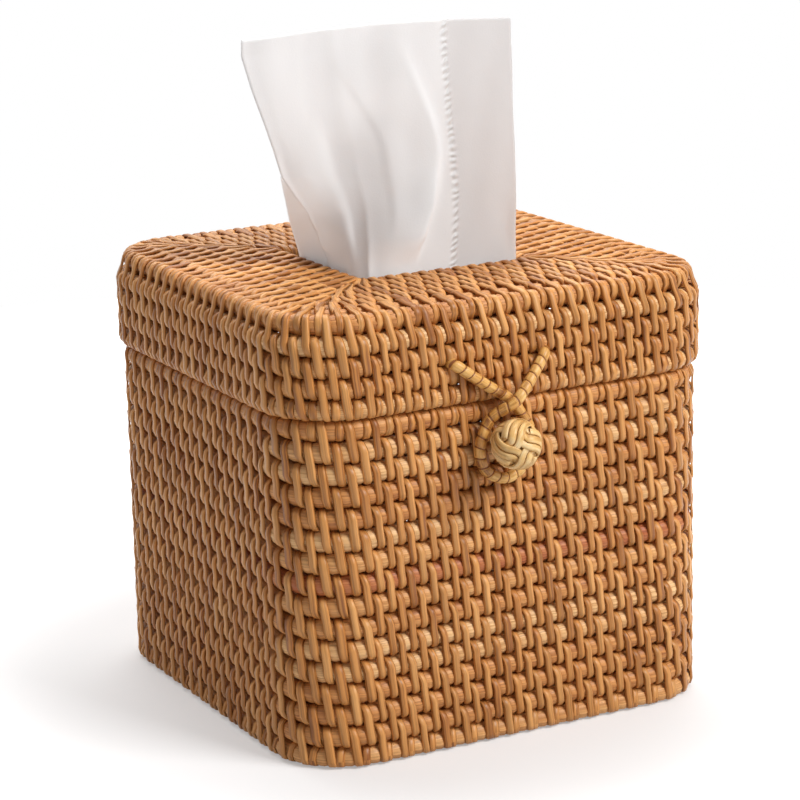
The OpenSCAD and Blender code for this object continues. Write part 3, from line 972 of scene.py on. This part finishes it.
def front_leaf(u, v):
    top_left, top_right = FRONT_LEAF_LEFT[-1][2], FRONT_LEAF_RIGHT[-1][2]
    bottom = FRONT_LEAF_LEFT[0][2]
    left = on_edge(FRONT_LEAF_LEFT, bottom + (top_left - bottom) * v)
    right = on_edge(FRONT_LEAF_RIGHT, bottom + (top_right - bottom) * v)
    level = left.z + (right.z - left.z) * u
    rise = smooth(max(0.0, level) / (FLAT_FROM_SHARE * top_right))
    corner = Vector((-foot + CORNER_INSET, foot - CORNER_INSET))
    flat = left.xy.lerp(right.xy, u)
    if u < FOOT_CORNER_SHARE:
        bent = left.xy.lerp(corner, u / FOOT_CORNER_SHARE)
    else:
        bent = corner.lerp(right.xy, (u - FOOT_CORNER_SHARE) / (1 - FOOT_CORNER_SHARE))
    soft = math.exp(-((u - FOOT_CORNER_SHARE) / CORNER_SOFT_WIDTH) ** 2)
    bent = bent.lerp(flat, CORNER_SOFT_SHARE * soft)
    plan = bent.lerp(flat, rise)
    share = max(0.0, level) / top_right
    from_left = EDGE_FOLD_SHARE + (1 - EDGE_FOLD_SHARE) * smooth(u / LEFT_FADE_WIDTH)
    from_right = EDGE_FOLD_SHARE + (1 - EDGE_FOLD_SHARE) * smooth((1 - u) / RIGHT_FADE_WIDTH)
    plan.y += smooth(6 * share) * from_left * from_right * fold_stand(u, share)
    ripple = RIPPLE * math.sin(31 * u + 7 * v) * math.sin(17 * v - 9 * u) * smooth(3 * share)
    edge_wave = EDGE_WAVE * math.exp(-(u / EDGE_WAVE_WIDTH) ** 2) * math.sin(58 * v) * smooth(1 - share * 2.4)
    top_bow = TOP_BOW * math.sin(math.pi * u) * smooth(3 * v - 2)
    return Vector((plan.x + edge_wave, -plan.y - ripple, lid_top_z + level + top_bow))


def rear_leaf(u, v):
    bottom, top = REAR_LEAF_LEFT[0][2], REAR_LEAF_LEFT[-1][2]
    level = bottom + (top - bottom) * v
    rear, front = on_edge(REAR_LEAF_LEFT, level), on_edge(FRONT_LEAF_LEFT, level)
    plan = rear.xy.lerp(front.xy + Vector((LEAF_OVERLAP * 1.5, -LEAF_OVERLAP)), u)
    return Vector((plan.x, -plan.y, lid_top_z + level))


# The seam is a dotted, slightly wandering line. Past it the paper is painted a shade darker: painted
# shade for the right-hand part of the leaf
SEAM_FROM_EDGE = 0.0232
SEAM_HALF_WIDTH = 0.00105
SEAM_WANDER = 0.0012
SEAM_DOTS_A_METRE = 2900.0
SEAM_SLANT = 1.2
SEAM_DOTS_UNEVEN = 14.0
SEAM_RELIEF = 1.1
SHADE_STEP_WITHIN = 0.0010
PAPER_WHITE = (0.83, 0.83, 0.825, 1)
PAINTED_SHADE_WHITE = (0.57, 0.555, 0.55, 1)
PAPER_SHEEN = 0.15
PAPER_GLOW = 0.85
PAPER_GLOW_COLOURS = (1.0, 0.98, 0.97)
PAPER_GLOW_DEPTH = 0.003
PAPER_RELIEF = 0.0005
PAPER_BUMP = 0.7
FINE_CREPE = 1800.0
SOFT_CREPE = 90.0
FINE_SHARE = 0.10
SOFT_SHARE = 0.25
NATURAL_BASE = 2.718


def tissue_paper():
    material = bpy.data.materials.new("soft_white_tissue")
    material.use_nodes = True
    nodes, links = material.node_tree.nodes, material.node_tree.links
    maths = partial(math_node, nodes, links)
    shader = nodes["Principled BSDF"]
    shader.inputs["Specular IOR Level"].default_value = PAPER_SHEEN
    shader.inputs["Subsurface Weight"].default_value = PAPER_GLOW
    shader.inputs["Subsurface Radius"].default_value = PAPER_GLOW_COLOURS
    shader.inputs["Subsurface Scale"].default_value = PAPER_GLOW_DEPTH
    uv = nodes.new("ShaderNodeUVMap")
    uv.uv_map = "along_and_across"
    place = nodes.new("ShaderNodeSeparateXYZ")
    links.new(uv.outputs[0], place.inputs[0])

    def crepe(scale):
        texture = nodes.new("ShaderNodeTexNoise")
        texture.inputs["Scale"].default_value = scale
        texture.inputs["Detail"].default_value = 3.0
        links.new(uv.outputs[0], texture.inputs["Vector"])
        return texture.outputs["Fac"]

    fine = crepe(FINE_CREPE)
    soft = crepe(SOFT_CREPE)
    wander = maths("MULTIPLY", maths("SUBTRACT", soft, 0.5), SEAM_WANDER)
    from_seam = maths("ADD", maths("SUBTRACT", place.outputs["X"], SEAM_FROM_EDGE), wander)
    near = maths("DIVIDE", from_seam, SEAM_HALF_WIDTH)
    mask = maths("POWER", NATURAL_BASE, maths("MULTIPLY", maths("MULTIPLY", near, near), -1.0))
    slanted = maths("ADD", maths("MULTIPLY", place.outputs["Y"], SEAM_DOTS_A_METRE),
                    maths("MULTIPLY", near, SEAM_SLANT))
    dots = maths("SINE", maths("ADD", slanted, maths("MULTIPLY", soft, SEAM_DOTS_UNEVEN)))
    stamped = maths("MULTIPLY", mask, maths("ADD", maths("MULTIPLY", dots, 0.5), 0.2))
    # Painted shade: the paper past the seam takes the darker white
    beyond = nodes.new("ShaderNodeMapRange")
    beyond.inputs["From Min"].default_value = SHADE_STEP_WITHIN
    beyond.inputs["From Max"].default_value = -SHADE_STEP_WITHIN
    links.new(from_seam, beyond.inputs["Value"])
    white = nodes.new("ShaderNodeMix")
    white.data_type = "RGBA"
    white.inputs["A"].default_value = PAPER_WHITE
    white.inputs["B"].default_value = PAINTED_SHADE_WHITE
    links.new(beyond.outputs[0], white.inputs["Factor"])
    links.new(white.outputs["Result"], shader.inputs["Base Color"])
    rough = nodes.new("ShaderNodeMapRange")
    rough.inputs["To Min"].default_value = 0.78
    rough.inputs["To Max"].default_value = 0.95
    links.new(fine, rough.inputs["Value"])
    links.new(rough.outputs[0], shader.inputs["Roughness"])
    texture = maths("ADD", maths("MULTIPLY", fine, FINE_SHARE), maths("MULTIPLY", soft, SOFT_SHARE))
    raised = nodes.new("ShaderNodeBump")
    raised.inputs["Strength"].default_value = PAPER_BUMP
    raised.inputs["Distance"].default_value = PAPER_RELIEF
    links.new(maths("ADD", texture, maths("MULTIPLY", stamped, SEAM_RELIEF)), raised.inputs["Height"])
    links.new(raised.outputs[0], shader.inputs["Normal"])
    return material


def tissue():
    bm = bmesh.new()
    uv = bm.loops.layers.uv.new("along_and_across")
    head_width = (Vector(FRONT_LEAF_RIGHT[-1]) - Vector(FRONT_LEAF_LEFT[-1])).length
    foot_width = 2 * foot / (1 - FOOT_CORNER_SHARE)
    height = FRONT_LEAF_RIGHT[-1][2] - FRONT_LEAF_RIGHT[0][2]
    leaves = ((front_leaf, FRONT_COLUMNS, FRONT_LEVELS), (rear_leaf, REAR_COLUMNS, REAR_LEVELS))
    for shape, columns, levels in leaves:
        made = bmesh.ops.create_grid(bm, x_segments=columns, y_segments=levels, size=0.5)
        faces = {face for vert in made["verts"] for face in vert.link_faces}
        for face in faces:
            for loop in face.loops:
                u, v = loop.vert.co.x + 0.5, loop.vert.co.y + 0.5
                leaf_width = foot_width + (head_width - foot_width) * v
                # The rear leaf has no seam, so its paper starts beyond the front leaf's far edge
                from_right = (1 - u) * leaf_width if shape is front_leaf else leaf_width * (1.1 + 0.2 * u)
                loop[uv].uv = (from_right, v * height)
        for vert in made["verts"]:
            vert.co = shape(vert.co.x + 0.5, vert.co.y + 0.5)
    area = sum(face.calc_area() for face in bm.faces)
    piece = finish_piece(bm, "tissue_drawn_up", tissue_paper(), "tissue", ["tissue_sheet"])
    wall = piece.modifiers.new("ply", "SOLIDIFY")
    wall.thickness = TISSUE_THICK
    wall.offset = 0


tissue()
